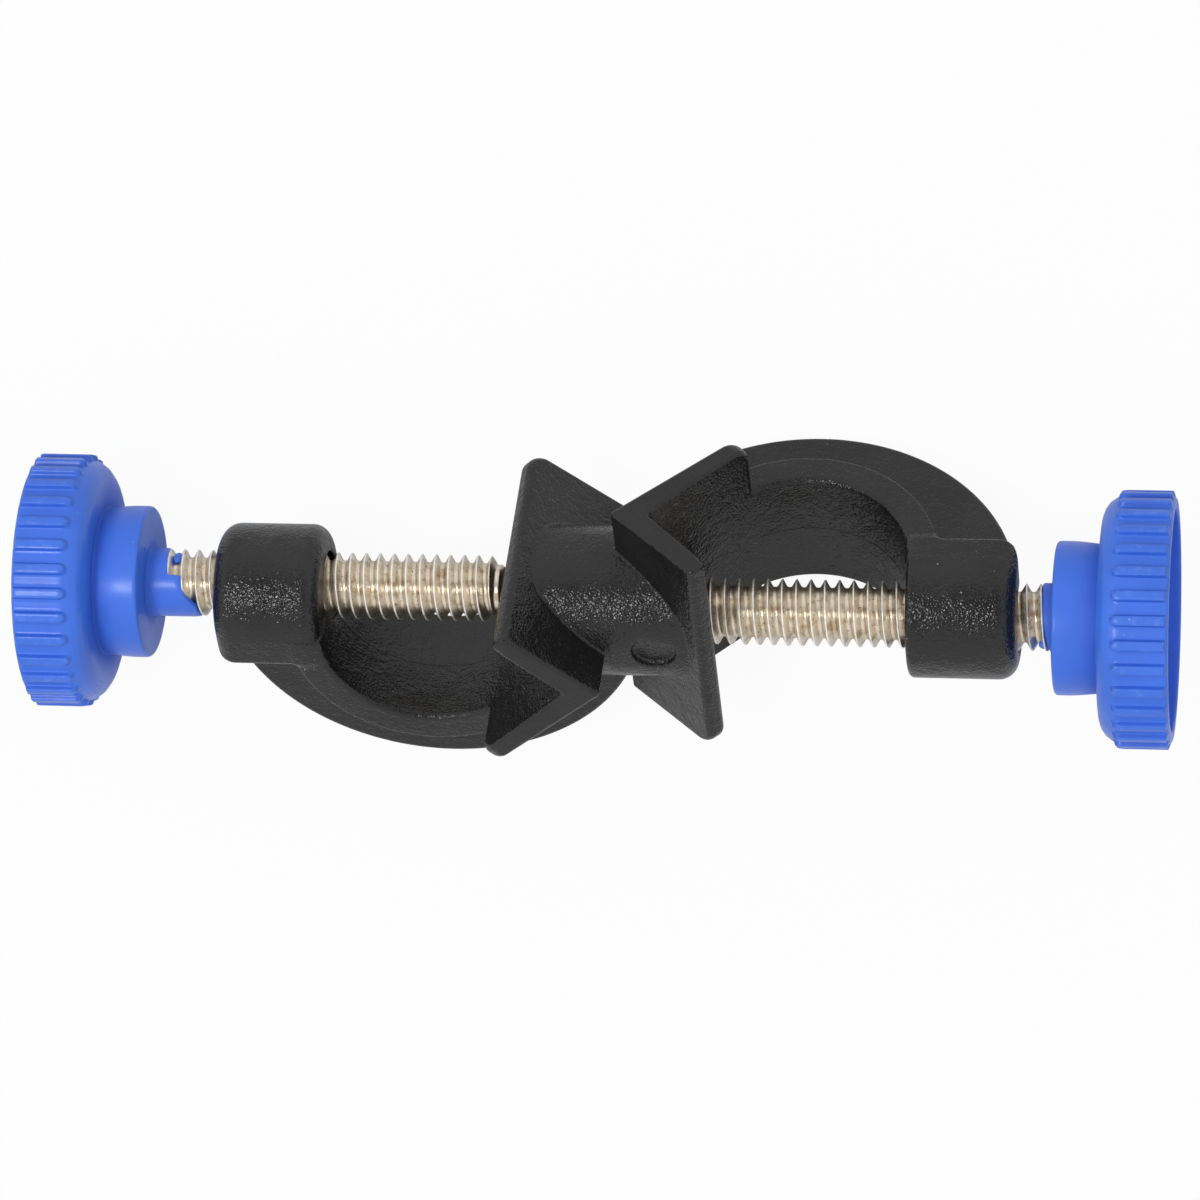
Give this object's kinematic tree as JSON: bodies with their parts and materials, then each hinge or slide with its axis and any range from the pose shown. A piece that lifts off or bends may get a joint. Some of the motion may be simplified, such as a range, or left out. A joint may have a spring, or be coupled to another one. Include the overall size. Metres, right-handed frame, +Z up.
{
  "type": "boss head clamp",
  "caption": "Double boss head with two V jaws set at right angles and a knobbed hand screw for each, for joining two round rods.",
  "frame": {"origin": "under the middle of the overall length, on the surface that the two arms' ribs rest on", "axes": "+X along the screws from the left knob to the right knob, +Z up with the C arms opening upwards"},
  "size_m": [0.1384, 0.039, 0.0365],
  "materials": {
    "clamp_body": "black textured coating",
    "screw": "nickel plated thread",
    "knob": "blue moulded plastic"
  },
  "bodies": {
    "clamp_body": {"clamp_body": "clamp_body"},
    "left_screw": {"left_screw": "screw"},
    "left_knob": {"left_knob": "knob"},
    "right_screw": {"right_screw": "screw"},
    "right_knob": {"right_knob": "knob"}
  },
  "joints": [
    {"name": "left_screw_travel", "type": "slide", "parent": "clamp_body", "child": "left_screw", "axis": [-1, 0, 0], "range_m": [-0.00172, 0.0207]},
    {"name": "left_knob_turn", "type": "hinge", "parent": "left_screw", "child": "left_knob", "pos_m": [-0.0576, 0.00106, 0.01849], "axis": [-1, 0, 0], "range_deg": [-362, 4326]},
    {"name": "right_screw_travel", "type": "slide", "parent": "clamp_body", "child": "right_screw", "axis": [1, 0, 0], "range_m": [-0.00129, 0.02415]},
    {"name": "right_knob_turn", "type": "hinge", "parent": "right_screw", "child": "right_knob", "pos_m": [0.0624, -0.00106, 0.01849], "axis": [1, 0, 0], "range_deg": [-272, 5046]}
  ],
  "couplings": [
    {"joint": "left_knob_turn", "follows": "left_screw_travel", "rad_per_m": 3642.4},
    {"joint": "right_knob_turn", "follows": "right_screw_travel", "rad_per_m": 3642.4}
  ]
}
